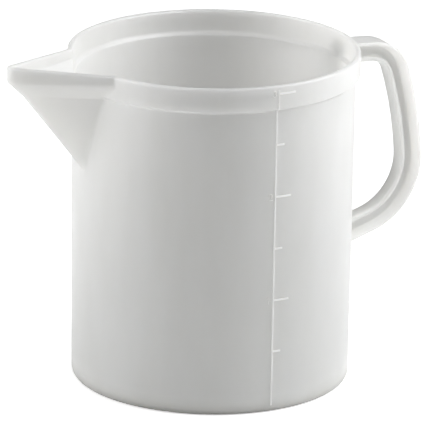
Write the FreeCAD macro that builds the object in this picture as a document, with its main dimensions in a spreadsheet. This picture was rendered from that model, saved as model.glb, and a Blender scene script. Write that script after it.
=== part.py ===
"""A three litre measuring jug, injection moulded in one piece.

The jug stands on the XY plane with its base centred on the origin. The spout points along -X,
the handle along +X, and the scale runs up the -Y side. Millimetres throughout.
"""
import FreeCAD
import Part
import math
import os

import Sketcher

# Driving dimensions: name, value in mm (angles in degrees, volume in mm3), meaning.
SIZES = (
    ("jug_height", 184.0, "floor to the top of the rim"),
    ("rim_radius", 79.4, "outside of the collar round the rim"),
    ("collar_step", 2.4, "collar proud of the wall"),
    ("wall_draft", 1.1, "wall narrower at the floor than under the collar"),
    ("wall", 2.4, "thickness of the side wall"),
    ("lip_wall", 3.0, "thickness of the collar"),
    ("floor_wall", 2.8, "thickness of the bottom"),
    ("collar_depth", 14.6, "rim to the foot of the collar"),
    ("collar_slope", 1.8, "height of the sloping underside of the collar"),
    ("joggle_soft", 1.2, "rounding of the joggle inside the collar"),
    ("base_edge", 3.0, "outside rounding between wall and bottom"),
    ("inner_edge", 4.0, "inside rounding between wall and bottom"),
    ("foot_ring", 6.0, "width of the ring that the jug stands on"),
    ("foot_recess", 0.9, "depth of the recess inside that ring"),
    ("lip_rounding", 1.2, "rounding of both edges of the rim"),
    ("spout_length", 42.6, "collar to the nose of the spout"),
    ("spout_start", 5.4, "collar back to where the rim starts to rise to the nose"),
    ("spout_angle", 29.5, "each side of the spout to its middle line"),
    ("spout_nose", 5.0, "plan radius of the nose"),
    ("spout_rise", 3.0, "nose of the spout above the rim"),
    ("spout_band", 5.6, "rim to the first fold under the spout"),
    ("spout_bend", 150.0, "radius on which the rim starts to rise to the spout"),
    ("spout_soft", 3.0, "outside rounding of the spout's folds and of its joint with the wall"),
    ("channel_soft", 0.8, "the same, inside"),
    ("keel_inset", 9.4, "second fold under the spout, behind the nose"),
    ("keel_angle", 26.5, "each lower side of the spout to its middle line"),
    ("keel_nose", 3.0, "plan radius of the keel at the second fold"),
    ("keel_lean", 37.7, "slope of the keel against the upright wall that it runs out on"),
    ("handle_drop", 4.3, "rim to the top of the handle"),
    ("handle_slope", 2.5, "fall of the handle's arm"),
    ("handle_arm", 15.4, "straight run of the arm past the collar"),
    ("handle_shoulder", 22.4, "radius of the upper bend"),
    ("shoulder_turn", 70.4, "turn of the upper bend"),
    ("handle_grip", 226.0, "radius of the long curve of the grip"),
    ("grip_turn", 12.7, "turn of the grip"),
    ("handle_elbow", 42.3, "radius of the lower bend"),
    ("elbow_turn", 75.8, "turn of the lower bend"),
    ("handle_depth", 11.6, "handle from its outer to its inner face"),
    ("flange_width", 15.0, "outer flange across"),
    ("flange_edge", 1.4, "thickness of the outer flange at its edges"),
    ("flange_root", 3.6, "thickness of the outer flange at the web"),
    ("flange_soft", 0.6, "rounding of the outer flange's edges"),
    ("grip_width", 10.0, "inner flange across"),
    ("grip_wall", 2.7, "thickness of the inner flange"),
    ("grip_soft", 1.2, "rounding of the inner flange's edges"),
    ("web_wall", 3.2, "thickness of the web between the flanges"),
    ("web_soft", 0.9, "rounding between web and flanges"),
    ("scale_first", 34.6, "height of the half litre mark"),
    ("mark_volume", 500000.0, "room in the jug from one mark to the next"),
    ("scale_relief", 0.5, "height of the marks above the wall"),
    ("scale_stroke", 0.9, "width of the marks"),
    ("long_mark", 9.8, "length of a litre mark"),
    ("short_mark", 5.0, "length of a half litre mark"),
)

# Built solid first and hollowed afterwards, so pieces that join the wall start this far inside it.
BURIED = 10.0
ROOT = f"(sizes.rim_radius - 2 * {BURIED})"
# The rim is cut last, out of stock that stands this far above the nose of the spout.
SPARE = 4.0
# A tool that cuts runs this far past what it cuts.
PAST = 1.0
# The keel's foot runs this far into the wall, so that it dies out in it.
SINK = 0.3
# The keel narrows from the second fold to its foot by this share.
KEEL_END = 0.05
# Shares of the wall between the folds outside and the channel's folds inside, where the wall turns.
FOLD_LIFT = 1 / 6
KEEL_LIFT = 0.7
KEEL_BACK = 0.75
# The channel's keel is this share of the radius outside.
CHANNEL_KEEL = 1 / 3
# How near an edge has to be to where it belongs.
NEAR = 0.3
EXACT = 0.02

COLLAR_FOOT = "(sizes.jug_height - sizes.collar_depth)"
COLLAR_START = f"({COLLAR_FOOT} + sizes.collar_slope)"
STOCK_TOP = f"(sizes.jug_height + sizes.spout_rise + {SPARE})"
NECK = "(sizes.rim_radius - sizes.collar_step)"
FLOOR = "(sizes.foot_recess + sizes.floor_wall)"

doc = FreeCAD.newDocument("measuring_jug")
sheet = doc.addObject("Spreadsheet::Sheet", "sizes")
for row, (alias, number, meaning) in enumerate(SIZES, start=1):
    sheet.set(f"A{row}", meaning)
    sheet.set(f"B{row}", str(number))
    sheet.setAlias(f"B{row}", alias)
doc.recompute()

body = doc.addObject("PartDesign::Body", "jug")
body.Label = "jug"
body.Placement = FreeCAD.Placement(FreeCAD.Vector(0, 0, 0), FreeCAD.Rotation())


def value(expression):
    """Number that a sheet expression gives."""
    return float(sheet.evalExpression(expression.replace("sizes.", "")))


def wall_radius(height):
    """Outside radius of the drafted wall at a height."""
    return f"({NECK} - sizes.wall_draft * (1 - {height} / {COLLAR_FOOT}))"


def origin_part(role):
    """Plane or axis of the body's own origin."""
    return next(item for item in body.Origin.OriginFeatures if item.Role == role)


def new_sketch(name, role, lift=None):
    """Sketch on a plane of the body's origin, lifted along the plane's normal."""
    sketch = body.newObject("Sketcher::SketchObject", name)
    sketch.AttachmentSupport = [(origin_part(role), "")]
    sketch.MapMode = "FlatFace"
    if lift is not None:
        sketch.setExpression("AttachmentOffset.Base.z", lift)
    return sketch


def bind(sketch, constraint, expression):
    """Add a constraint whose number follows the sheet."""
    index = sketch.addConstraint(constraint)
    sketch.setExpression(f"Constraints[{index}]", expression)


def pin(sketch, geometry, end, corner):
    """Hold one end of an edge at a pair of expressions; None leaves that direction free."""
    for kind, axis, expression in zip(("DistanceX", "DistanceY"), (-2, -1), corner):
        if expression is None:
            continue
        number = value(expression)
        if abs(number) < 1e-9:
            sketch.addConstraint(Sketcher.Constraint("PointOnObject", geometry, end, axis))
        else:
            bind(sketch, Sketcher.Constraint(kind, -1, 1, geometry, end, number), expression)


def arc_between(start, end, radius, turn):
    """Short arc from start to end, turning left (1) or right (-1), and the ends' numbers on it."""
    chord = end - start
    height = math.sqrt(max(radius ** 2 - chord.Length ** 2 / 4, 0))
    across = FreeCAD.Vector(-chord.y, chord.x, 0).normalize()
    centre = (start + end) / 2 + across * height * turn
    first, last = (start, end) if turn > 0 else (end, start)
    angles = [math.atan2(point.y - centre.y, point.x - centre.x) for point in (first, last)]
    circle = Part.Circle(centre, FreeCAD.Vector(0, 0, 1), radius)
    ends = (1, 2) if turn > 0 else (2, 1)
    return Part.ArcOfCircle(circle, angles[0], angles[1]), ends


def outline(sketch, corners):
    """Closed loop through the corners, each reached by a line, or by an arc of a radius and a turn."""
    points = [FreeCAD.Vector(value(corner[0]), value(corner[1]), 0) for corner in corners]
    edges = []
    for index, corner in enumerate(corners):
        start, end = points[index - 1], points[index]
        if len(corner) == 2:
            edges.append((sketch.addGeometry(Part.LineSegment(start, end), False), 1, 2))
            continue
        arc, ends = arc_between(start, end, value(corner[2]), corner[3])
        geometry = sketch.addGeometry(arc, False)
        bind(sketch, Sketcher.Constraint("Radius", geometry, value(corner[2])), corner[2])
        edges.append((geometry, *ends))
    for index, (geometry, _, end) in enumerate(edges):
        following, start, _ = edges[(index + 1) % len(edges)]
        sketch.addConstraint(Sketcher.Constraint("Coincident", geometry, end, following, start))
        pin(sketch, geometry, end, corners[index][:2])


def rounded_outline(sketch, corners):
    """Closed loop with a rounding at each corner (x, y, radius, heading of the side that reaches it)."""
    rounded = []
    for index, (x, y, radius, arriving) in enumerate(corners):
        leaving = corners[(index + 1) % len(corners)][3]
        turned_by = (value(leaving) - value(arriving) + 180) % 360 - 180
        turn = 1 if turned_by > 0 else -1
        back = f"({radius} * tan({abs(turned_by) / 2}))"
        if "sizes" in arriving + leaving:
            back = f"({radius} * abs(tan((({leaving}) - ({arriving})) / 2)))"
        rounded.append((f"({x}) - {back} * cos({arriving})", f"({y}) - {back} * sin({arriving})"))
        rounded.append((f"({x}) + {back} * cos({leaving})", f"({y}) + {back} * sin({leaving})", radius, turn))
    outline(sketch, rounded)


def feature(kind, name, profile):
    """PartDesign feature on a sketch."""
    made = body.newObject(f"PartDesign::{kind}", name)
    made.Profile = profile
    return made


def turned(kind, name, profile, angle=360.0, midplane=False):
    """Revolution or groove about the jug's own axis."""
    made = feature(kind, name, profile)
    made.ReferenceAxis = (origin_part("Z_Axis"), [""])
    made.Angle = angle
    made.Midplane = midplane
    return made


def ruled_loft(kind, name, sections):
    """Loft with straight sides between level sections."""
    made = feature(kind, name, sections[0])
    made.Sections = sections[1:]
    made.Ruled = True
    made.Closed = False
    return made


def points_on(edge):
    """Three points spread along an edge."""
    span = edge.LastParameter - edge.FirstParameter
    return [edge.valueAt(edge.FirstParameter + span * share) for share in (0.25, 0.5, 0.75)]


def interpolate(height, stations):
    """Radius at a height on a profile of (height, radius) stations."""
    for (low, low_radius), (high, high_radius) in zip(stations, stations[1:]):
        if height <= high:
            return low_radius + (high_radius - low_radius) * (height - low) / (high - low)
    return stations[-1][1]


def lies_on_wall(edge, stations):
    """True for an edge that follows the turned wall on the spout's side, between its foot and the stock's top."""
    keel_foot = value(KEEL_FOOT)
    for point in points_on(edge):
        off_side = abs(point.y) > -point.x
        if off_side or not keel_foot - PAST < point.z < value(STOCK_TOP) - EXACT:
            return False
        if abs(math.hypot(point.x, point.y) - interpolate(point.z, stations)) > NEAR:
            return False
    return True


def is_fold(edge, height):
    """True for an edge at one height on the spout, outside the collar."""
    level = edge.BoundBox.ZLength < EXACT and abs(edge.BoundBox.ZMin - value(height)) < EXACT
    return level and points_on(edge)[1].x < -value("sizes.rim_radius")


def rounding(name, made, test, radius):
    """Fillet on the edges of a feature that pass a test."""
    doc.recompute()
    edges = [f"Edge{number}" for number, edge in enumerate(made.Shape.Edges, start=1) if test(edge)]
    fillet = body.newObject("PartDesign::Fillet", name)
    fillet.Base = (made, edges)
    fillet.setExpression("Radius", radius)
    fillet.Refine = False
    doc.recompute()
    return fillet


def foot_rounding(level, radius, inset="0"):
    """Ends of a rounding between a level bottom and the drafted wall: on the bottom, then on the wall."""
    lean = f"atan(sizes.wall_draft / {COLLAR_FOOT})"
    centre = f"({wall_radius(f'({level} + {radius})')} - {inset} - {radius} / cos({lean}))"
    return (centre, level), (f"({centre} + {radius} * cos({lean}))", f"({level} + {radius} * (1 - sin({lean})))")


def eased(x, y, lean, radius, way):
    """Ends of a rounding where an upright side meets one that leans: the upright end, then the other."""
    tangent = f"({radius} * tan({lean} / 2))"
    far = "-" if way == "+" else "+"
    return (x, f"{y} {way} {tangent}"), (f"{x} {far} {tangent} * sin({lean})", f"{y} {far} {tangent} * cos({lean})")


def vee(name, height, reach, angle, nose, root=ROOT):
    """Level section of the spout: two straight sides that meet in a round nose."""
    sketch = new_sketch(name, "XY_Plane", height)
    tangent = f"({reach} - {nose} * (1 - sin({angle})))"
    side = f"({nose} * cos({angle}))"
    mouth = f"({side} + tan({angle}) * ({tangent} - {root}))"
    outline(sketch, (
        (f"-{root}", mouth),
        (f"-{tangent}", side),
        (f"-{tangent}", f"-{side}", nose, 1),
        (f"-{root}", f"-{mouth}"),
    ))
    return sketch


# The jug without its hollow: one turned solid.
base_in, base_out = foot_rounding("0", "sizes.base_edge")
ring_inside = f"({wall_radius('0')} - sizes.foot_ring)"
shell_sketch = new_sketch("shell_profile", "XZ_Plane")
outline(shell_sketch, (
    ("0", "sizes.foot_recess"),
    (ring_inside, "sizes.foot_recess"),
    (ring_inside, "0"),
    base_in,
    (*base_out, "sizes.base_edge", 1),
    (NECK, COLLAR_FOOT),
    ("sizes.rim_radius", COLLAR_START),
    ("sizes.rim_radius", STOCK_TOP),
    ("0", STOCK_TOP),
))
turned("Revolution", "shell", shell_sketch)

# The spout: an upright band, a fold inwards, and a keel that runs out on the wall.
FOLD = "(sizes.jug_height - sizes.spout_band)"
REACH = "(sizes.rim_radius + sizes.spout_length)"
KEEL_REACH = f"({REACH} - sizes.keel_inset)"
KEEL_FOOT = f"({COLLAR_FOOT} - ({KEEL_REACH} - {NECK}) / tan(sizes.keel_lean))"
FOOT_REACH = f"({wall_radius(KEEL_FOOT)} - {SINK})"
ruled_loft("AdditiveLoft", "spout", [
    vee("spout_top", STOCK_TOP, REACH, "sizes.spout_angle", "sizes.spout_nose"),
    vee("spout_fold", FOLD, REACH, "sizes.spout_angle", "sizes.spout_nose"),
    vee("spout_keel", COLLAR_FOOT, KEEL_REACH, "sizes.keel_angle", "sizes.keel_nose"),
    vee("spout_foot", f"{KEEL_FOOT} - {SINK}", FOOT_REACH, "sizes.keel_angle", f"({KEEL_END} * sizes.keel_nose)",
        f"({FOOT_REACH} - {KEEL_END} * ({KEEL_REACH} - {ROOT}))"),
])

OUTSIDE = (
    (0, value(wall_radius("0"))),
    (value(COLLAR_FOOT), value(NECK)),
    (value(COLLAR_START), value("sizes.rim_radius")),
    (value(STOCK_TOP), value("sizes.rim_radius")),
)
rounding(
    "spout_folds", body.Tip,
    lambda edge: lies_on_wall(edge, OUTSIDE) or is_fold(edge, FOLD) or is_fold(edge, COLLAR_FOOT),
    "sizes.spout_soft")

# The handle: an I section with a wide, thin-edged outer flange, carried round the bends.
HANDLE_TOP = "(sizes.jug_height - sizes.handle_drop)"
path_sketch = new_sketch("handle_path", "XZ_Plane")
heading = -math.radians(value("sizes.handle_slope"))
place = FreeCAD.Vector(value("sizes.rim_radius") - BURIED, value(HANDLE_TOP), 0)


def handle_run(length):
    """Straight run of the handle's outer face."""
    global place
    end = place + FreeCAD.Vector(math.cos(heading), math.sin(heading), 0) * length
    geometry = path_sketch.addGeometry(Part.LineSegment(place, end), False)
    place = end
    return geometry, 1, 2


def handle_bend(radius, turn):
    """Bend of the handle's outer face, turning right."""
    global place, heading
    across = FreeCAD.Vector(math.sin(heading), -math.cos(heading), 0)
    centre = place + across * value(radius)
    sweep = math.radians(value(turn))
    begin = math.atan2(-across.y, -across.x)
    circle = Part.Circle(centre, FreeCAD.Vector(0, 0, 1), value(radius))
    arc = Part.ArcOfCircle(circle, begin - sweep, begin)
    geometry = path_sketch.addGeometry(arc, False)
    bind(path_sketch, Sketcher.Constraint("Radius", geometry, value(radius)), radius)
    bind(path_sketch, Sketcher.Constraint("Angle", geometry, sweep), f"{turn} * 1 deg")
    heading -= sweep
    place = arc.StartPoint
    return geometry, 2, 1


arm = f"(sizes.handle_arm + {BURIED})"
arm_start = (f"sizes.rim_radius - {BURIED}", HANDLE_TOP)
arm_end = (f"{arm_start[0]} + {arm} * cos(sizes.handle_slope)", f"{HANDLE_TOP} - {arm} * sin(sizes.handle_slope)")
runs = [
    handle_run(value(arm)),
    handle_bend("sizes.handle_shoulder", "sizes.shoulder_turn"),
    handle_bend("sizes.handle_grip", "sizes.grip_turn"),
    handle_bend("sizes.handle_elbow", "sizes.elbow_turn"),
]
tail = (place.x - value(arm_start[0])) / -math.cos(heading)
runs.append(handle_run(tail))
for (geometry, _, end), (following, start, _) in zip(runs, runs[1:]):
    path_sketch.addConstraint(Sketcher.Constraint("Tangent", geometry, end, following, start))
pin(path_sketch, runs[0][0], 1, arm_start)
pin(path_sketch, runs[0][0], 2, arm_end)
pin(path_sketch, runs[-1][0], 2, (arm_start[0], None))

section_sketch = new_sketch("handle_section", "YZ_Plane", arm_start[0])
half_flange = "(sizes.flange_width / 2)"
half_grip = "(sizes.grip_width / 2)"
half_web = "(sizes.web_wall / 2)"
lean = f"(atan((sizes.flange_root - sizes.flange_edge) / ({half_flange} - {half_web})) / 1 deg)"
flange_edge = f"{HANDLE_TOP} - sizes.flange_edge"
flange_root = f"{HANDLE_TOP} - sizes.flange_root"
over_grip = f"{HANDLE_TOP} - sizes.handle_depth + sizes.grip_wall"
bottom = f"{HANDLE_TOP} - sizes.handle_depth"
rounded_outline(section_sketch, (
    (f"-{half_flange}", HANDLE_TOP, "sizes.flange_soft", "180"),
    (f"-{half_flange}", flange_edge, "sizes.flange_soft", "270"),
    (f"-{half_web}", flange_root, "sizes.web_soft", f"-{lean}"),
    (f"-{half_web}", over_grip, "sizes.web_soft", "270"),
    (f"-{half_grip}", over_grip, "sizes.grip_soft", "180"),
    (f"-{half_grip}", bottom, "sizes.grip_soft", "270"),
    (half_grip, bottom, "sizes.grip_soft", "0"),
    (half_grip, over_grip, "sizes.grip_soft", "90"),
    (half_web, over_grip, "sizes.web_soft", "180"),
    (half_web, flange_root, "sizes.web_soft", "90"),
    (half_flange, flange_edge, "sizes.flange_soft", lean),
    (half_flange, HANDLE_TOP, "sizes.flange_soft", "90"),
))
handle = feature("AdditivePipe", "handle", section_sketch)
handle.Spine = (path_sketch, [f"Edge{number + 1}" for number in range(len(runs))])

# The hollow: turned, with the joggle of the collar inside too.
INNER_FOOT = f"({COLLAR_FOOT} + sizes.wall / 3)"
NECK_INSIDE = f"({NECK} - sizes.wall)"
RIM_INSIDE = "(sizes.rim_radius - sizes.lip_wall)"
joggle_lean = f"atan(({RIM_INSIDE} - {NECK_INSIDE}) / sizes.collar_slope)"
joggle_below, joggle_start = eased(NECK_INSIDE, INNER_FOOT, joggle_lean, "sizes.joggle_soft", "-")
joggle_above, joggle_end = eased(
    RIM_INSIDE, f"({INNER_FOOT} + sizes.collar_slope)", joggle_lean, "sizes.joggle_soft", "+")
floor_in, floor_out = foot_rounding(FLOOR, "sizes.inner_edge", "sizes.wall")
hollow_sketch = new_sketch("hollow_profile", "XZ_Plane")
outline(hollow_sketch, (
    ("0", FLOOR),
    floor_in,
    (*floor_out, "sizes.inner_edge", 1),
    joggle_below,
    (*joggle_start, "sizes.joggle_soft", -1),
    joggle_end,
    (*joggle_above, "sizes.joggle_soft", 1),
    (RIM_INSIDE, f"{STOCK_TOP} + {PAST}"),
    ("0", f"{STOCK_TOP} + {PAST}"),
))
turned("Groove", "hollow", hollow_sketch)

# The channel inside the spout, one wall behind its outside.
FOLD_IN = f"({FOLD} + {FOLD_LIFT} * sizes.wall)"
KEEL_IN = f"({COLLAR_FOOT} + {KEEL_LIFT} * sizes.wall)"
CHANNEL_REACH = f"({REACH} - sizes.lip_wall)"
CHANNEL_NOSE = "(sizes.spout_nose - sizes.lip_wall)"
CHANNEL_FOOT = f"({wall_radius(KEEL_FOOT)} - sizes.wall - {SINK})"
ruled_loft("SubtractiveLoft", "channel", [
    vee("channel_top", f"{STOCK_TOP} + {PAST}", CHANNEL_REACH, "sizes.spout_angle", CHANNEL_NOSE),
    vee("channel_fold", FOLD_IN, CHANNEL_REACH, "sizes.spout_angle", CHANNEL_NOSE),
    vee("channel_keel", KEEL_IN, f"({KEEL_REACH} - {KEEL_BACK} * sizes.wall)", "sizes.keel_angle",
        f"({CHANNEL_KEEL} * sizes.keel_nose)"),
    vee("channel_foot", f"{KEEL_FOOT} + {SINK}", CHANNEL_FOOT, "sizes.keel_angle",
        f"({KEEL_END} * {CHANNEL_KEEL} * sizes.keel_nose)",
        f"({CHANNEL_FOOT} - {KEEL_END} * ({KEEL_REACH} - {ROOT}))"),
])

INSIDE = (
    (value(FLOOR), value(f"{wall_radius(FLOOR)} - sizes.wall")),
    (value(INNER_FOOT), value(NECK_INSIDE)),
    (value(f"{INNER_FOOT} + sizes.collar_slope"), value(RIM_INSIDE)),
    (value(f"{STOCK_TOP} + {PAST}"), value(RIM_INSIDE)),
)
rounding(
    "channel_folds", body.Tip,
    lambda edge: lies_on_wall(edge, INSIDE) or is_fold(edge, FOLD_IN) or is_fold(edge, KEEL_IN),
    "sizes.channel_soft")

# The rim: level round the jug, rising gently to the nose of the spout.
mouth = "(sizes.rim_radius - sizes.spout_start)"
rise = f"atan(sizes.spout_rise / ({REACH} - {mouth}))"
bend_half = f"(sizes.spout_bend * tan({rise} / 2))"
left = f"({REACH} + {BURIED})"
right = f"(sizes.rim_radius + {BURIED})"
rim_sketch = new_sketch("rim_line", "XZ_Plane")
outline(rim_sketch, (
    (right, "sizes.jug_height"),
    (right, f"{STOCK_TOP} + {PAST}"),
    (f"-{left}", f"{STOCK_TOP} + {PAST}"),
    (f"-{left}", f"sizes.jug_height + tan({rise}) * ({left} - {mouth})"),
    (f"-({mouth} + {bend_half} * cos({rise}))", f"sizes.jug_height + {bend_half} * sin({rise})"),
    (f"-({mouth} - {bend_half})", "sizes.jug_height", "sizes.spout_bend", 1),
))
rim_cut = feature("Pocket", "rim", rim_sketch)
rim_cut.Type = "ThroughAll"
rim_cut.Midplane = True


def on_rim(edge):
    """True for an edge that runs along the top of the rim, not across it."""
    return edge.BoundBox.ZMin > value("sizes.jug_height") - EXACT and edge.BoundBox.XLength > EXACT


rounding("lip", rim_cut, on_rim, "sizes.lip_rounding")

# The scale: a raised line up the wall and a mark at every half litre, towards the handle.
RAISED = "sizes.scale_relief"
line_foot = f"(sizes.base_edge + {PAST})"
line_top = f"(sizes.jug_height - sizes.lip_rounding - {PAST})"
line_sketch = new_sketch("scale_line", "YZ_Plane")
outline(line_sketch, (
    (f"-({wall_radius(line_foot)} + {RAISED})", line_foot),
    (f"-({wall_radius(line_foot)} - {PAST})", line_foot),
    (f"-({NECK} - {PAST})", COLLAR_FOOT),
    (f"-(sizes.rim_radius - {PAST})", COLLAR_START),
    (f"-(sizes.rim_radius - {PAST})", line_top),
    (f"-(sizes.rim_radius + {RAISED})", line_top),
    (f"-(sizes.rim_radius + {RAISED})", COLLAR_START),
    (f"-({NECK} + {RAISED})", COLLAR_FOOT),
))
scale_line = turned("Revolution", "scale", line_sketch, midplane=True)
scale_line.setExpression("Angle", "sizes.scale_stroke / sizes.rim_radius * 180 / pi * 1 deg")

mean_inside = f"({NECK} - sizes.wall_draft / 2 - sizes.wall)"
STEP = f"(sizes.mark_volume / (pi * {mean_inside} ^ 2))"
marks = math.floor(value(f"({line_top} - sizes.scale_first) / {STEP}")) + 1


def scale_marks(name, numbers, length):
    """Raised marks of one length, each a short turn of a small rectangle."""
    sketch = new_sketch(f"{name}_profile", "YZ_Plane")
    for number in numbers:
        height = f"(sizes.scale_first + {number} * {STEP})"
        radius = "sizes.rim_radius" if value(height) > value(COLLAR_START) else wall_radius(height)
        low = f"{height} - sizes.scale_stroke / 2"
        high = f"{height} + sizes.scale_stroke / 2"
        outline(sketch, (
            (f"-({radius} + {RAISED})", low),
            (f"-({radius} - {PAST})", low),
            (f"-({radius} - {PAST})", high),
            (f"-({radius} + {RAISED})", high),
        ))
    made = turned("Revolution", name, sketch)
    made.setExpression("Angle", f"{length} / sizes.rim_radius * 180 / pi * 1 deg")


scale_marks("half_litres", range(0, marks, 2), "sizes.short_mark")
scale_marks("litres", range(1, marks, 2), "sizes.long_mark")

doc.recompute()

# Nothing is written unless every object is sound.
for item in doc.Objects:
    if {"Invalid", "Error"} & set(item.State):
        raise RuntimeError(f"{item.Name} failed: {item.State}")
if body.Shape.isNull() or not body.Shape.isValid() or len(body.Shape.Solids) != 1:
    raise RuntimeError("jug has no valid shape")

os.makedirs("parts", exist_ok=True)
body.Shape.exportStep(f"parts/{body.Label}.step")
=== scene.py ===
"""A three litre measuring jug, injection moulded in natural polypropylene, on a white table."""
import logging
import math
from dataclasses import dataclass
from enum import Enum

import bmesh
import bpy
from mathutils import Matrix, Vector


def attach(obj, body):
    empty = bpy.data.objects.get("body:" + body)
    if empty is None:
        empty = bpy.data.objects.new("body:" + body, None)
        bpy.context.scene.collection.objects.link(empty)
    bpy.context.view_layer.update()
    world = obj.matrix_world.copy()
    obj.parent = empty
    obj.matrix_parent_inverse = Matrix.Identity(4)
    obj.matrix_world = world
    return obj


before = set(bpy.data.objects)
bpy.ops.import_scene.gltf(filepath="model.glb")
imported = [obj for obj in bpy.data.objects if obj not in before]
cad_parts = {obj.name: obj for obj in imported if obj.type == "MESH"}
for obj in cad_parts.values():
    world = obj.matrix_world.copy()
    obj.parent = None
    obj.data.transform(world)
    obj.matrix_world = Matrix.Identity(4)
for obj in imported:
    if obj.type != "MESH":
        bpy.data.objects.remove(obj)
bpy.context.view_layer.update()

logging.basicConfig(level=logging.INFO, format="%(message)s")
log = logging.getLogger("jug")

MM = 0.001
POLYPROPYLENE_IOR = 1.49
# Red light runs a little further inside the plastic than blue, which warms its thin edges.
SCATTER_TINT = (1.0, 0.97, 0.93)

Colour = tuple[float, float, float, float]
Point = tuple[float, float]


def linear(hex_colour: str) -> Colour:
    """Turn an sRGB hex colour into the linear colour that a shader takes.

    Args:
        hex_colour: Six hex digits with a leading #.

    Returns:
        Red, green, blue and an alpha of 1.
    """
    parts = [int(hex_colour[start:start + 2], 16) / 255 for start in (1, 3, 5)]
    red, green, blue = (c / 12.92 if c <= 0.04045 else ((c + 0.055) / 1.055) ** 2.4 for c in parts)
    return red, green, blue, 1.0


def add_node(
    tree: bpy.types.NodeTree,
    kind: str,
    settings: dict[str, object] | None = None,
    inputs: dict[str | int, object] | None = None,
) -> bpy.types.Node:
    """Add a node with its settings, and set or link its inputs.

    Args:
        tree: Node tree that gets the node.
        kind: Blender's name of the node type, without its ShaderNode prefix.
        settings: Attributes of the node itself.
        inputs: Input name or number to a value, or to the output that feeds it.

    Returns:
        The new node.
    """
    made = tree.nodes.new(f"ShaderNode{kind}")
    for name, value in (settings or {}).items():
        setattr(made, name, value)
    for name, value in (inputs or {}).items():
        if isinstance(value, bpy.types.NodeSocket):
            tree.links.new(value, made.inputs[name])
        else:
            made.inputs[name].default_value = value
    return made


def noise_scale(size_mm: float) -> float:
    """Scale at which the blots of a noise have a real size.

    Args:
        size_mm: Size of a blot.

    Returns:
        The number of blots to a metre.
    """
    return 1 / (size_mm * MM)


def empty_tree(owner: bpy.types.Material | bpy.types.World) -> bpy.types.NodeTree:
    """Switch a material or world to nodes, and clear the ones that it starts with.

    Args:
        owner: Material or world.

    Returns:
        Its empty node tree.
    """
    owner.use_nodes = True
    owner.node_tree.nodes.clear()
    return owner.node_tree


def away_from(turn_degrees: float, rise_degrees: float) -> Vector:
    """Direction from the jug outwards.

    Args:
        turn_degrees: Turn about the jug's axis, from the side that faces -Y.
        rise_degrees: Angle above the table.

    Returns:
        A vector of length 1.
    """
    turn, rise = math.radians(turn_degrees), math.radians(rise_degrees)
    level = math.cos(rise)
    return Vector((math.sin(turn) * level, -math.cos(turn) * level, math.sin(rise)))


def place_facing(
    name: str,
    data: bpy.types.Camera | bpy.types.Light,
    target: Vector,
    away: Vector,
    distance: float,
) -> bpy.types.Object:
    """Put a camera or lamp in the scene, facing a point.

    Args:
        name: Name of the object.
        data: Camera or light data.
        target: Point that it faces.
        away: Direction from that point to the object.
        distance: Distance from that point, in metres.

    Returns:
        The new object.
    """
    placed = bpy.data.objects.new(name, data)
    placed.location = target + away * distance
    placed.rotation_mode = "QUATERNION"
    placed.rotation_quaternion = (-away).to_track_quat("-Z", "Y")
    bpy.context.scene.collection.objects.link(placed)
    return placed


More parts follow.
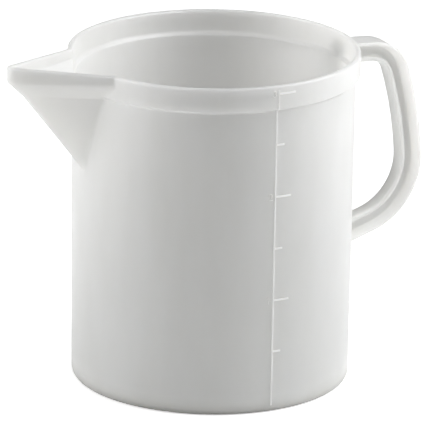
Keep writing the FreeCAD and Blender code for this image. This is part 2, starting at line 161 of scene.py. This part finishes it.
@dataclass(frozen=True)
class MouldedPolypropylene:
    """Natural polypropylene, injection moulded in a polished steel tool.

    It looks milky, because light that enters the wall scatters many times before it leaves, and
    satin, because the skin copies the fine marks of the tool.
    """

    name: str = "moulded_polypropylene"
    resin: str = "#ECECE9"
    ior: float = POLYPROPYLENE_IOR
    scatter: float = 1.0
    scatter_mm: float = 18.0

    # The melt leaves faint clouds as it flows, drawn out along the wall.
    flow: str = "#E6E6E2"
    flow_mm: float = 26.0
    flow_detail: float = 3.0
    flow_blur: float = 0.45
    flow_stretch: float = 0.3
    flow_range: tuple[float, float] = (0.35, 0.7)

    # Painted shade near the table: the colour darkens, standing in for the shade that falls on the
    # lower wall. It fades in towards the table, on the outside only.
    foot: str = "#A9A8A4"
    foot_height_mm: float = 10.0
    foot_fade: float = 1.6
    foot_inside_mm: float = 69.0
    foot_outside_mm: float = 74.0

    # The skin is satin, in patches a little more or less so, and dull where it rubs on a table.
    gloss: float = 0.34
    gloss_patch_mm: float = 14.0
    gloss_patch_detail: float = 2.0
    gloss_below: float = 0.03
    gloss_above: float = 0.04
    worn: float = 0.5
    rub_mm: float = 1.8
    rub_detail: float = 4.0

    # Slow waves of the cooling wall show as soft bends in the highlights.
    wave_mm: float = 8.8
    wave_detail: float = 1.0
    wave_depth_mm: float = 0.10
    wave_strength: float = 0.25

    # The tool's real grain is below 0.1 mm. It is drawn coarser, so that it just breaks the sheen.
    grain_mm: float = 0.6
    grain_detail: float = 2.0
    grain_depth_mm: float = 0.02
    grain_strength: float = 0.2

    def make(self) -> bpy.types.Material:
        """Build the material.

        Returns:
            The finished material.
        """
        material = bpy.data.materials.new(self.name)
        tree = empty_tree(material)
        place = add_node(tree, "TexCoord").outputs["Object"]
        # The foot mask places both the painted shade and the wear.
        foot = self._base_shade_and_wear(tree, place)
        skin = add_node(tree, "BsdfPrincipled", inputs={
            "Base Color": self._colour(tree, place, foot),
            "Roughness": self._roughness(tree, place, foot),
            "IOR": self.ior,
            "Subsurface Weight": self.scatter,
            "Subsurface Radius": SCATTER_TINT,
            "Subsurface Scale": self.scatter_mm * MM,
            "Normal": self._relief(tree, place),
        })
        add_node(tree, "OutputMaterial", inputs={"Surface": skin.outputs["BSDF"]})
        return material

    def _base_shade_and_wear(self, tree: bpy.types.NodeTree, place: bpy.types.NodeSocket) -> bpy.types.NodeSocket:
        """Mask of the painted shade and the wear near the table: 1 at the outside of the foot's
        edge, 0 above it.

        Args:
            tree: The material's tree.
            place: Coordinates on the object, in metres.

        Returns:
            The share.
        """
        parts = add_node(tree, "SeparateXYZ", inputs={"Vector": place})
        low = add_node(tree, "MapRange", inputs={
            "Value": parts.outputs["Z"], "From Min": self.foot_height_mm * MM, "From Max": 0.0})
        rising = add_node(tree, "Math", {"operation": "POWER"}, {
            0: low.outputs["Result"], 1: self.foot_fade})
        flat = add_node(tree, "Mapping", inputs={"Vector": place, "Scale": (1.0, 1.0, 0.0)})
        reach = add_node(tree, "VectorMath", {"operation": "LENGTH"}, {0: flat.outputs["Vector"]})
        outer = add_node(tree, "MapRange", inputs={
            "Value": reach.outputs["Value"],
            "From Min": self.foot_inside_mm * MM,
            "From Max": self.foot_outside_mm * MM})
        return add_node(tree, "Math", {"operation": "MULTIPLY"}, {
            0: rising.outputs["Value"], 1: outer.outputs["Result"]}).outputs["Value"]

    def _colour(
        self, tree: bpy.types.NodeTree, place: bpy.types.NodeSocket, foot: bpy.types.NodeSocket
    ) -> bpy.types.NodeSocket:
        """Colour with the faint clouds of the melt, darkened by painted shade near the table.

        Args:
            tree: The material's tree.
            place: Coordinates on the object, in metres.
            foot: Share of the painted shade near the table, at each place.

        Returns:
            The colour.
        """
        drawn_out = add_node(tree, "Mapping", inputs={
            "Vector": place, "Scale": (1.0, 1.0, self.flow_stretch)})
        clouds = add_node(tree, "TexNoise", inputs={
            "Vector": drawn_out.outputs["Vector"],
            "Scale": noise_scale(self.flow_mm),
            "Detail": self.flow_detail,
            "Roughness": self.flow_blur})
        soft = add_node(tree, "ValToRGB", inputs={"Fac": clouds.outputs["Fac"]})
        for element, position in zip(soft.color_ramp.elements, self.flow_range):
            element.position = position
        milky = add_node(tree, "Mix", {"data_type": "RGBA"}, {
            "Factor": soft.outputs["Color"], 6: linear(self.resin), 7: linear(self.flow)})
        # Painted shade: the colour darkens to the foot colour towards the table.
        with_painted_shade = add_node(tree, "Mix", {"data_type": "RGBA"}, {
            "Factor": foot, 6: milky.outputs[2], 7: linear(self.foot)})
        return with_painted_shade.outputs[2]

    def _roughness(
        self, tree: bpy.types.NodeTree, place: bpy.types.NodeSocket, foot: bpy.types.NodeSocket
    ) -> bpy.types.NodeSocket:
        """Satin skin, duller where the jug rubs on what it stands on.

        Args:
            tree: The material's tree.
            place: Coordinates on the object, in metres.
            foot: How far each place belongs to the foot.

        Returns:
            The roughness.
        """
        patches = add_node(tree, "TexNoise", inputs={
            "Vector": place,
            "Scale": noise_scale(self.gloss_patch_mm),
            "Detail": self.gloss_patch_detail})
        spread = add_node(tree, "MapRange", inputs={
            "Value": patches.outputs["Fac"],
            "To Min": self.gloss - self.gloss_below,
            "To Max": self.gloss + self.gloss_above})
        rubbed = add_node(tree, "TexNoise", inputs={
            "Vector": place, "Scale": noise_scale(self.rub_mm), "Detail": self.rub_detail})
        scuffs = add_node(tree, "Math", {"operation": "MULTIPLY"}, {
            0: foot, 1: rubbed.outputs["Fac"]})
        dulled = add_node(tree, "MapRange", inputs={
            "Value": scuffs.outputs["Value"], "To Min": 0.0, "To Max": self.worn - self.gloss})
        return add_node(tree, "Math", {"operation": "ADD"}, {
            0: spread.outputs["Result"], 1: dulled.outputs["Result"]}).outputs["Value"]

    def _relief(
        self, tree: bpy.types.NodeTree, place: bpy.types.NodeSocket
    ) -> bpy.types.NodeSocket:
        """Slow waves of the wall, and the tool's own fine grain.

        Args:
            tree: The material's tree.
            place: Coordinates on the object, in metres.

        Returns:
            The normal.
        """
        waves = add_node(tree, "TexNoise", inputs={
            "Vector": place, "Scale": noise_scale(self.wave_mm), "Detail": self.wave_detail})
        grain = add_node(tree, "TexNoise", inputs={
            "Vector": place, "Scale": noise_scale(self.grain_mm), "Detail": self.grain_detail})
        rolling = add_node(tree, "Bump", inputs={
            "Height": waves.outputs["Fac"],
            "Strength": self.wave_strength,
            "Distance": self.wave_depth_mm * MM})
        return add_node(tree, "Bump", inputs={
            "Height": grain.outputs["Fac"],
            "Strength": self.grain_strength,
            "Distance": self.grain_depth_mm * MM,
            "Normal": rolling.outputs["Normal"]}).outputs["Normal"]


@dataclass(frozen=True)
class RaisedPolypropylene:
    """The same plastic on the crowns of the raised scale.

    The narrow ridges catch more light than the wall round them. That light is painted on, as a
    whiter colour and a glow of the same colour, though the ridges are no lamp.
    """

    name: str
    painted_glow: float
    scatter: float = 1.0
    # Painted highlight: whiter than the wall's resin, and also the colour of the painted glow.
    crown: str = "#F1F1EE"
    gloss: float = 0.3
    ior: float = POLYPROPYLENE_IOR
    scatter_mm: float = 18.0

    def make(self) -> bpy.types.Material:
        """Build the material.

        Returns:
            The finished material.
        """
        material = bpy.data.materials.new(self.name)
        tree = empty_tree(material)
        skin = add_node(tree, "BsdfPrincipled", inputs={
            "Base Color": linear(self.crown),
            "Roughness": self.gloss,
            "IOR": self.ior,
            "Subsurface Weight": self.scatter,
            "Subsurface Radius": SCATTER_TINT,
            "Subsurface Scale": self.scatter_mm * MM,
            # Painted glow, though the crowns are no lamp.
            "Emission Color": linear(self.crown),
            "Emission Strength": self.painted_glow,
        })
        add_node(tree, "OutputMaterial", inputs={"Surface": skin.outputs["BSDF"]})
        return material


@dataclass(frozen=True)
class WhiteTable:
    """Matt white laminate: it looks evenly white, and keeps only the soft shadow under the jug."""

    name: str = "white_laminate"
    laminate: str = "#F0F0F0"
    glow: float = 0.58
    sheen: float = 0.30

    def make(self) -> bpy.types.Material:
        """Build the material.

        Returns:
            The finished material.
        """
        material = bpy.data.materials.new(self.name)
        tree = empty_tree(material)
        rays = add_node(tree, "LightPath").outputs
        seen = add_node(tree, "Math", {"operation": "ADD", "use_clamp": True}, {
            0: rays["Is Camera Ray"], 1: rays["Is Transmission Ray"]})
        direct = add_node(tree, "Math", {"operation": "MULTIPLY"}, {
            0: seen.outputs["Value"], 1: self.glow})
        mirrored = add_node(tree, "Math", {"operation": "MULTIPLY"}, {
            0: rays["Is Glossy Ray"], 1: self.sheen})
        strength = add_node(tree, "Math", {"operation": "ADD"}, {
            0: direct.outputs["Value"], 1: mirrored.outputs["Value"]})
        glow = add_node(tree, "Emission", inputs={"Strength": strength.outputs["Value"]})
        matt = add_node(tree, "BsdfDiffuse", inputs={"Color": linear(self.laminate)})
        both = add_node(tree, "AddShader", inputs={
            0: glow.outputs["Emission"], 1: matt.outputs["BSDF"]})
        add_node(tree, "OutputMaterial", inputs={"Surface": both.outputs["Shader"]})
        return material


class Facing(Enum):
    """Where a lamp stands, as a turn about the jug from the camera, in degrees."""

    LEFT = -85.0
    RIGHT = 85.0
    HIGH_LEFT = -90.0
    HIGH_RIGHT = 90.0
    BACK_RIGHT = 125.0


class Rise(Enum):
    """How high a lamp stands, as an angle above the table, in degrees."""

    LOW = 20.0
    HIGH = 55.0


@dataclass(frozen=True)
class Softbox:
    """A large soft lamp that faces the jug. Sizes are in metres and power in watts."""

    name: str
    facing: Facing
    power: float
    rise: Rise = Rise.LOW
    size: float = 1.2
    distance: float = 1.8

    def build(self, camera_azimuth: float, target: Vector) -> None:
        """Make the lamp.

        Args:
            camera_azimuth: The camera's own turn about the jug, in degrees.
            target: Point that the lamp faces.
        """
        data = bpy.data.lights.new(self.name, "AREA")
        data.shape = "SQUARE"
        data.size = self.size
        data.energy = self.power
        away = away_from(camera_azimuth + self.facing.value, self.rise.value)
        place_facing(self.name, data, target, away, self.distance)
        log.info("%s: %.1f W", self.name, self.power)


@dataclass(frozen=True)
class Viewpoint:
    """The camera: a long lens, slightly rolled, a little above the rim.

    Angles are in degrees, distance and height in metres, and the lens in millimetres.
    """

    azimuth: float = -25.9
    elevation: float = 17.5621
    roll: float = 0.852
    distance: float = 3.158
    height: float = 0.09263
    lens: float = 484.93
    shift_x: float = 0.00718
    shift_y: float = -0.01373

    @property
    def target(self) -> Vector:
        """Point on the jug's axis that the camera looks at."""
        return Vector((0.0, 0.0, self.height))

    def build(self) -> None:
        """Make the camera and give it to the scene."""
        data = bpy.data.cameras.new("camera")
        data.lens = self.lens
        data.shift_x = self.shift_x
        data.shift_y = self.shift_y
        data.dof.use_dof = False
        away = away_from(self.azimuth, self.elevation)
        camera = place_facing("camera", data, self.target, away, self.distance)
        roll = Matrix.Rotation(math.radians(self.roll), 4, "Z")
        camera.rotation_quaternion @= roll.to_quaternion()
        bpy.context.scene.camera = camera


@dataclass(frozen=True)
class Studio:
    """White table, even surroundings and soft lamps."""

    viewpoint: Viewpoint
    table_radius: float = 1.3
    table_corners: int = 96
    surroundings: float = 0.02
    backdrop: str = "#FFFFFF"
    lamps: tuple[Softbox, ...] = (
        Softbox("lamp_left", Facing.LEFT, 18.0),
        Softbox("lamp_right", Facing.RIGHT, 16.0),
        Softbox("lamp_high_right", Facing.HIGH_RIGHT, 22.5, Rise.HIGH),
        Softbox("lamp_high_left", Facing.HIGH_LEFT, 6.0, Rise.HIGH),
        Softbox("lamp_back_right", Facing.BACK_RIGHT, 1.5),
    )

    def build(self) -> None:
        """Make the table, the world and the lamps, and switch to plain colours."""
        bpy.context.scene.view_settings.view_transform = "Standard"
        self._table()
        self._world()
        for lamp in self.lamps:
            lamp.build(self.viewpoint.azimuth, self.viewpoint.target)

    def _table(self) -> None:
        """Lay a round table top under the jug."""
        mesh = bpy.data.meshes.new("table")
        disc = bmesh.new()
        bmesh.ops.create_circle(
            disc, cap_ends=True, segments=self.table_corners, radius=self.table_radius)
        disc.to_mesh(mesh)
        disc.free()
        mesh.materials.append(WhiteTable().make())
        table = bpy.data.objects.new("table", mesh)
        bpy.context.scene.collection.objects.link(table)

    def _world(self) -> None:
        """Surround the jug with faint even light, and show the backdrop as white."""
        world = bpy.data.worlds.new("surroundings")
        tree = empty_tree(world)
        rays = add_node(tree, "LightPath")
        even = add_node(tree, "Background", inputs={"Strength": self.surroundings})
        white = add_node(tree, "Background", inputs={
            "Color": linear(self.backdrop), "Strength": 1.0})
        mixed = add_node(tree, "MixShader", inputs={
            "Fac": rays.outputs["Is Camera Ray"],
            1: even.outputs["Background"],
            2: white.outputs["Background"]})
        add_node(tree, "OutputWorld", inputs={"Surface": mixed.outputs["Shader"]})
        bpy.context.scene.world = world


class Numeral(Enum):
    """The scale's numerals, as points across and up in shares of their height."""

    ONE = ((0.12, 0.78), (0.34, 1.0), (0.34, 0.0))
    TWO = ((0.04, 0.78), (0.12, 0.94), (0.30, 1.0), (0.48, 0.94),
           (0.56, 0.76), (0.50, 0.56), (0.04, 0.0), (0.60, 0.0))
    THREE = ((0.06, 0.88), (0.24, 1.0), (0.44, 0.97), (0.54, 0.78), (0.44, 0.58), (0.26, 0.53),
             (0.46, 0.47), (0.58, 0.26), (0.46, 0.05), (0.24, 0.0), (0.04, 0.10))


class Crown(Enum):
    """Material slots of the moulding: its wall, and the crowns of the raised scale."""

    WALL = 0
    LINE = 1
    MARK = 2


@dataclass(frozen=True)
class OuterWall:
    """Outside of the moulding on the scale's side, as a radius at each height, in millimetres."""

    neck: float = 77.0
    draft: float = 1.1
    collar_foot: float = 169.4
    collar_start: float = 171.2
    collar: float = 79.4

    def radius(self, height: float) -> float:
        """Outside radius at a height.

        Args:
            height: Height above the table.

        Returns:
            The radius of the wall below the collar, of its slope, or of the collar.
        """
        if height <= self.collar_foot:
            return self.neck - self.draft * (1 - height / self.collar_foot)
        share = min(1.0, (height - self.collar_foot) / (self.collar_start - self.collar_foot))
        return self.neck + share * (self.collar - self.neck)

    def point(self, across: float, height: float, lift: float) -> Vector:
        """Point over the wall.

        Args:
            across: Way along the wall from the scale's line, to the right when seen from outside.
            height: Height above the table.
            lift: Distance out from the wall.

        Returns:
            The point, in metres.
        """
        radius = self.radius(height)
        turn = across / radius
        reach = radius + lift
        return Vector((reach * math.sin(turn), -reach * math.cos(turn), height)) * MM


@dataclass(frozen=True)
class RaisedScale:
    """The scale: crowns of its raised line and marks made whiter with a painted highlight and
    glow, and three thin numerals that glow too.

    Sizes are in millimetres.
    """

    node: str = "jug"
    wall: OuterWall = OuterWall()
    # Each finish paints a glow on its crowns, standing in for the light that the ridges catch.
    line_finish: RaisedPolypropylene = RaisedPolypropylene("scale_line_polypropylene", painted_glow=0.015)
    mark_finish: RaisedPolypropylene = RaisedPolypropylene("scale_mark_polypropylene", painted_glow=0.17)
    numeral_finish: RaisedPolypropylene = RaisedPolypropylene(
        "numeral_polypropylene", painted_glow=0.09, scatter=0.0)

    # Where the crowns lie: heights between foot and rim, and ways across from the line's middle.
    foot: float = 1.0
    rim: float = 182.0
    half_line: float = 0.47
    longest_mark: float = 11.0
    proud: float = 0.1

    # The numerals stand left of the line, one at each whole litre.
    first_mark: float = 34.6
    half_litre: float = 29.025
    numeral_height: float = 3.4
    numeral_width: float = 0.6
    numeral_stroke: float = 0.5
    numeral_relief: float = 0.3
    numeral_gap: float = 1.6
    rib_profile: tuple[Point, ...] = (
        (-0.5, -0.3), (-0.5, 0.45), (-0.36, 0.85), (-0.14, 1.0),
        (0.14, 1.0), (0.36, 0.85), (0.5, 0.45), (0.5, -0.3))

    def dress(self) -> None:
        """Give the raised line and marks of the moulding their finish, whiter by a painted
        highlight and glow.
        """
        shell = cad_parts[self.node]
        shell.data.materials.append(self.line_finish.make())
        shell.data.materials.append(self.mark_finish.make())
        counts = dict.fromkeys(Crown, 0)
        for face in shell.data.polygons:
            crown = self._crown_at(shell.matrix_world @ face.center / MM)
            counts[crown] += 1
            if crown is not Crown.WALL:
                face.material_index = crown.value
        log.info("scale: %d faces of the line, %d of the marks",
                 counts[Crown.LINE], counts[Crown.MARK])

    def _crown_at(self, centre: Vector) -> Crown:
        """Tell what a face of the moulding belongs to.

        Args:
            centre: Centre of the face.

        Returns:
            The line, a mark, or the wall for all other faces.
        """
        # Only the side that carries the scale counts, from above the foot to below the rim.
        if centre.y > -self.wall.neck / 2 or not self.foot < centre.z < self.rim:
            return Crown.WALL
        if math.hypot(centre.x, centre.y) < self.wall.radius(centre.z) + self.proud:
            return Crown.WALL
        if abs(centre.x) < self.half_line:
            return Crown.LINE
        return Crown.MARK if 0.0 < centre.x < self.longest_mark else Crown.WALL

    def build(self) -> None:
        """Make the numerals beside the litre marks."""
        mesh = bmesh.new()
        left = -self.numeral_gap - self.numeral_width * self.numeral_height
        for count, numeral in enumerate(Numeral):
            mark = self.first_mark + (2 * count + 1) * self.half_litre
            bottom = mark - self.numeral_height / 2
            self._rib(mesh, [
                (left + across * self.numeral_height, bottom + up * self.numeral_height)
                for across, up in numeral.value])
        self._finish("scale_numerals", mesh)

    def _rib(self, mesh: bmesh.types.BMesh, path: list[Point]) -> None:
        """Add a rib with rounded shoulders that follows a path over the wall.

        Args:
            mesh: Mesh that gets the rib.
            path: Points across and up.
        """
        width, last = self.numeral_stroke, len(path) - 1
        rings = []
        for index, (across, height) in enumerate(path):
            before, after = path[max(index - 1, 0)], path[min(index + 1, last)]
            along = Vector((after[0] - before[0], after[1] - before[1])).normalized()
            side = Vector((-along.y, along.x))
            # Both ends reach half a stroke past the path.
            push = along * (width / 2) * (-1 if index == 0 else 1 if index == last else 0)
            rings.append([
                mesh.verts.new(self.wall.point(
                    across + side.x * width * offset + push.x,
                    height + side.y * width * offset + push.y,
                    self.numeral_relief * lift))
                for offset, lift in self.rib_profile])
        count = len(self.rib_profile)
        for near, far in zip(rings, rings[1:]):
            for index in range(count):
                after = (index + 1) % count
                mesh.faces.new((near[index], near[after], far[after], far[index]))
        mesh.faces.new(rings[0][::-1])
        mesh.faces.new(rings[-1])

    def _finish(self, name: str, mesh: bmesh.types.BMesh) -> None:
        """Turn the numerals' mesh into a piece of the jug.

        Args:
            name: Name of the piece.
            mesh: Its mesh, which is freed.
        """
        bmesh.ops.recalc_face_normals(mesh, faces=mesh.faces)
        data = bpy.data.meshes.new(name)
        mesh.to_mesh(data)
        mesh.free()
        data.materials.append(self.numeral_finish.make())
        for face in data.polygons:
            face.use_smooth = True
        piece = bpy.data.objects.new(name, data)
        bpy.context.scene.collection.objects.link(piece)
        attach(piece, "root")
        log.info("%s: %d faces", name, len(data.polygons))


@dataclass(frozen=True)
class JugShell:
    """The moulding itself: wall, collar, spout, handle and raised scale."""

    node: str = "jug"
    finish: MouldedPolypropylene = MouldedPolypropylene()

    def dress(self) -> None:
        """Give the moulding its finish."""
        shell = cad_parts[self.node]
        material = self.finish.make()
        shell.data.materials.clear()
        shell.data.materials.append(material)
        log.info("%s: %s, %d faces", self.node, material.name, len(shell.data.polygons))


def main() -> None:
    """Build the jug and the studio."""
    JugShell().dress()
    scale = RaisedScale()
    scale.dress()
    scale.build()
    viewpoint = Viewpoint()
    viewpoint.build()
    Studio(viewpoint).build()


if __name__ == "__main__":
    main()
